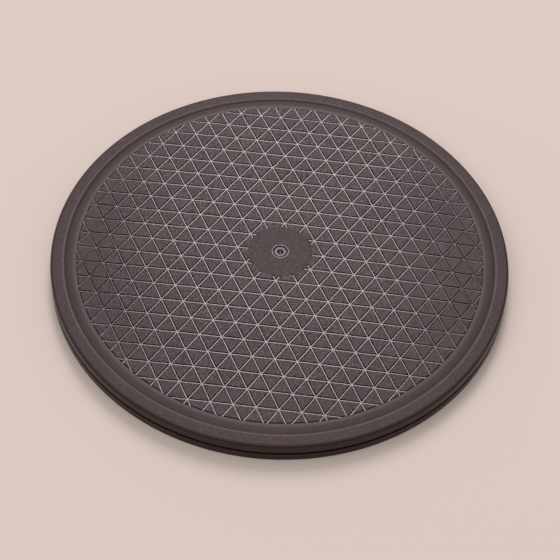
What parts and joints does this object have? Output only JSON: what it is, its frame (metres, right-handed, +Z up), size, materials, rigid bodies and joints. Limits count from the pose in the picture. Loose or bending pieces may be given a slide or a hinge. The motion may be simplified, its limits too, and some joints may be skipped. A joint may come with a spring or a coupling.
{
  "type": "pivot disc",
  "caption": "Low round transfer turntable: a crowned deck with a triangular grip pattern turns on a flat base about a central rivet, carried by a ring of balls.",
  "frame": {"origin": "on the turning axis, at the level of the foot pads' lower faces", "axes": "+Z up along the turning axis, +X along one family of the deck's grooves and through the first ball and pad"},
  "size_m": [0.3799, 0.38, 0.022],
  "materials": {
    "disc_plastic": "moulded polypropylene, fine spark-eroded grain",
    "rivet_steel": "dark finished steel",
    "washer_steel": "zinc plated",
    "ball_steel": "ground and polished",
    "bush_acetal": "turned black acetal",
    "bearing_nylon": "natural nylon",
    "pad_rubber": "moulded, matte"
  },
  "bodies": {
    "base": {"base": "disc_plastic", "pivot_rivet": "rivet_steel", "thrust_washer": "bearing_nylon", "backing_washer": "washer_steel", "foot_pad_01": "pad_rubber", "foot_pad_02": "pad_rubber", "foot_pad_03": "pad_rubber", "foot_pad_04": "pad_rubber", "foot_pad_05": "pad_rubber", "foot_pad_06": "pad_rubber", "foot_pad_07": "pad_rubber", "foot_pad_08": "pad_rubber"},
    "deck": {"deck": "disc_plastic", "pivot_bush": "bush_acetal"},
    "cage": {"ball_cage": "bearing_nylon"},
    "ball_01": {"ball_01": "ball_steel"},
    "ball_02": {"ball_02": "ball_steel"},
    "ball_03": {"ball_03": "ball_steel"},
    "ball_04": {"ball_04": "ball_steel"},
    "ball_05": {"ball_05": "ball_steel"},
    "ball_06": {"ball_06": "ball_steel"},
    "ball_07": {"ball_07": "ball_steel"},
    "ball_08": {"ball_08": "ball_steel"},
    "ball_09": {"ball_09": "ball_steel"},
    "ball_10": {"ball_10": "ball_steel"},
    "ball_11": {"ball_11": "ball_steel"},
    "ball_12": {"ball_12": "ball_steel"},
    "ball_13": {"ball_13": "ball_steel"},
    "ball_14": {"ball_14": "ball_steel"},
    "ball_15": {"ball_15": "ball_steel"},
    "ball_16": {"ball_16": "ball_steel"},
    "ball_17": {"ball_17": "ball_steel"},
    "ball_18": {"ball_18": "ball_steel"},
    "ball_19": {"ball_19": "ball_steel"},
    "ball_20": {"ball_20": "ball_steel"},
    "ball_21": {"ball_21": "ball_steel"},
    "ball_22": {"ball_22": "ball_steel"},
    "ball_23": {"ball_23": "ball_steel"},
    "ball_24": {"ball_24": "ball_steel"}
  },
  "joints": [
    {"name": "deck_spin", "type": "hinge", "parent": "base", "child": "deck", "pos_m": [0, 0, 0.00845], "axis": [0, 0, 1], "continuous": true},
    {"name": "cage_spin", "type": "hinge", "parent": "base", "child": "cage", "pos_m": [0, 0, 0.00845], "axis": [0, 0, 1], "continuous": true},
    {"name": "ball_01_roll", "type": "hinge", "parent": "cage", "child": "ball_01", "pos_m": [0.12, 0, 0.00845], "axis": [1, 0, 0], "continuous": true},
    {"name": "ball_02_roll", "type": "hinge", "parent": "cage", "child": "ball_02", "pos_m": [0.11591, 0.03106, 0.00845], "axis": [0.9659, 0.2588, 0], "continuous": true},
    {"name": "ball_03_roll", "type": "hinge", "parent": "cage", "child": "ball_03", "pos_m": [0.10392, 0.06, 0.00845], "axis": [0.866, 0.5, 0], "continuous": true},
    {"name": "ball_04_roll", "type": "hinge", "parent": "cage", "child": "ball_04", "pos_m": [0.08485, 0.08485, 0.00845], "axis": [0.7071, 0.7071, 0], "continuous": true},
    {"name": "ball_05_roll", "type": "hinge", "parent": "cage", "child": "ball_05", "pos_m": [0.06, 0.10392, 0.00845], "axis": [0.5, 0.866, 0], "continuous": true},
    {"name": "ball_06_roll", "type": "hinge", "parent": "cage", "child": "ball_06", "pos_m": [0.03106, 0.11591, 0.00845], "axis": [0.2588, 0.9659, 0], "continuous": true},
    {"name": "ball_07_roll", "type": "hinge", "parent": "cage", "child": "ball_07", "pos_m": [0, 0.12, 0.00845], "axis": [0, 1, 0], "continuous": true},
    {"name": "ball_08_roll", "type": "hinge", "parent": "cage", "child": "ball_08", "pos_m": [-0.03106, 0.11591, 0.00845], "axis": [-0.2588, 0.9659, 0], "continuous": true},
    {"name": "ball_09_roll", "type": "hinge", "parent": "cage", "child": "ball_09", "pos_m": [-0.06, 0.10392, 0.00845], "axis": [-0.5, 0.866, 0], "continuous": true},
    {"name": "ball_10_roll", "type": "hinge", "parent": "cage", "child": "ball_10", "pos_m": [-0.08485, 0.08485, 0.00845], "axis": [-0.7071, 0.7071, 0], "continuous": true},
    {"name": "ball_11_roll", "type": "hinge", "parent": "cage", "child": "ball_11", "pos_m": [-0.10392, 0.06, 0.00845], "axis": [-0.866, 0.5, 0], "continuous": true},
    {"name": "ball_12_roll", "type": "hinge", "parent": "cage", "child": "ball_12", "pos_m": [-0.11591, 0.03106, 0.00845], "axis": [-0.9659, 0.2588, 0], "continuous": true},
    {"name": "ball_13_roll", "type": "hinge", "parent": "cage", "child": "ball_13", "pos_m": [-0.12, 0, 0.00845], "axis": [-1, 0, 0], "continuous": true},
    {"name": "ball_14_roll", "type": "hinge", "parent": "cage", "child": "ball_14", "pos_m": [-0.11591, -0.03106, 0.00845], "axis": [-0.9659, -0.2588, 0], "continuous": true},
    {"name": "ball_15_roll", "type": "hinge", "parent": "cage", "child": "ball_15", "pos_m": [-0.10392, -0.06, 0.00845], "axis": [-0.866, -0.5, 0], "continuous": true},
    {"name": "ball_16_roll", "type": "hinge", "parent": "cage", "child": "ball_16", "pos_m": [-0.08485, -0.08485, 0.00845], "axis": [-0.7071, -0.7071, 0], "continuous": true},
    {"name": "ball_17_roll", "type": "hinge", "parent": "cage", "child": "ball_17", "pos_m": [-0.06, -0.10392, 0.00845], "axis": [-0.5, -0.866, 0], "continuous": true},
    {"name": "ball_18_roll", "type": "hinge", "parent": "cage", "child": "ball_18", "pos_m": [-0.03106, -0.11591, 0.00845], "axis": [-0.2588, -0.9659, 0], "continuous": true},
    {"name": "ball_19_roll", "type": "hinge", "parent": "cage", "child": "ball_19", "pos_m": [0, -0.12, 0.00845], "axis": [0, -1, 0], "continuous": true},
    {"name": "ball_20_roll", "type": "hinge", "parent": "cage", "child": "ball_20", "pos_m": [0.03106, -0.11591, 0.00845], "axis": [0.2588, -0.9659, 0], "continuous": true},
    {"name": "ball_21_roll", "type": "hinge", "parent": "cage", "child": "ball_21", "pos_m": [0.06, -0.10392, 0.00845], "axis": [0.5, -0.866, 0], "continuous": true},
    {"name": "ball_22_roll", "type": "hinge", "parent": "cage", "child": "ball_22", "pos_m": [0.08485, -0.08485, 0.00845], "axis": [0.7071, -0.7071, 0], "continuous": true},
    {"name": "ball_23_roll", "type": "hinge", "parent": "cage", "child": "ball_23", "pos_m": [0.10392, -0.06, 0.00845], "axis": [0.866, -0.5, 0], "continuous": true},
    {"name": "ball_24_roll", "type": "hinge", "parent": "cage", "child": "ball_24", "pos_m": [0.11591, -0.03106, 0.00845], "axis": [0.9659, -0.2588, 0], "continuous": true}
  ],
  "couplings": [
    {"joint": "cage_spin", "follows": "deck_spin", "ratio": 0.5},
    {"joint": "ball_01_roll", "follows": "deck_spin", "ratio": -15},
    {"joint": "ball_02_roll", "follows": "deck_spin", "ratio": -15},
    {"joint": "ball_03_roll", "follows": "deck_spin", "ratio": -15},
    {"joint": "ball_04_roll", "follows": "deck_spin", "ratio": -15},
    {"joint": "ball_05_roll", "follows": "deck_spin", "ratio": -15},
    {"joint": "ball_06_roll", "follows": "deck_spin", "ratio": -15},
    {"joint": "ball_07_roll", "follows": "deck_spin", "ratio": -15},
    {"joint": "ball_08_roll", "follows": "deck_spin", "ratio": -15},
    {"joint": "ball_09_roll", "follows": "deck_spin", "ratio": -15},
    {"joint": "ball_10_roll", "follows": "deck_spin", "ratio": -15},
    {"joint": "ball_11_roll", "follows": "deck_spin", "ratio": -15},
    {"joint": "ball_12_roll", "follows": "deck_spin", "ratio": -15},
    {"joint": "ball_13_roll", "follows": "deck_spin", "ratio": -15},
    {"joint": "ball_14_roll", "follows": "deck_spin", "ratio": -15},
    {"joint": "ball_15_roll", "follows": "deck_spin", "ratio": -15},
    {"joint": "ball_16_roll", "follows": "deck_spin", "ratio": -15},
    {"joint": "ball_17_roll", "follows": "deck_spin", "ratio": -15},
    {"joint": "ball_18_roll", "follows": "deck_spin", "ratio": -15},
    {"joint": "ball_19_roll", "follows": "deck_spin", "ratio": -15},
    {"joint": "ball_20_roll", "follows": "deck_spin", "ratio": -15},
    {"joint": "ball_21_roll", "follows": "deck_spin", "ratio": -15},
    {"joint": "ball_22_roll", "follows": "deck_spin", "ratio": -15},
    {"joint": "ball_23_roll", "follows": "deck_spin", "ratio": -15},
    {"joint": "ball_24_roll", "follows": "deck_spin", "ratio": -15}
  ]
}
